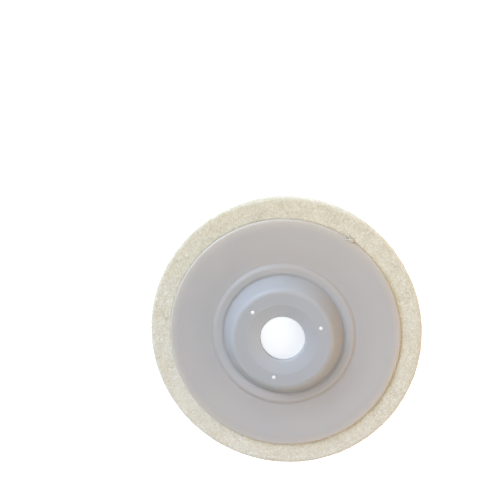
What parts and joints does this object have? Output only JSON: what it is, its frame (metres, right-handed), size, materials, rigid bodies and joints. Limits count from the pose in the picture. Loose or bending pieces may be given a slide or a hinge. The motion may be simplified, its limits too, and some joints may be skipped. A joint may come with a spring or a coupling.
{
  "type": "felt polishing wheel",
  "caption": "Pressed wool-felt polishing disc glued to a moulded plastic backing plate with a raised conical hub and a plain central bore, for a small angle grinder.",
  "frame": {"origin": "centre of the felt's working face, on the spin axis; the wheel lies on that face", "axes": "+Z along the spin axis, from the working face up through the hub towards the grinder; the wheel is round about +Z"},
  "size_m": [0.1, 0.1, 0.0218],
  "materials": {
    "pressed_felt": "matte, dense wool felt with a fine fibrous surface",
    "natural_plastic": "satin, milky and slightly translucent",
    "adhesive": "satin, dried contact cement"
  },
  "bodies": {
    "root": {"backing_plate": "natural_plastic", "adhesive_layer": "adhesive", "felt_ring": "pressed_felt"}
  },
  "joints": []
}
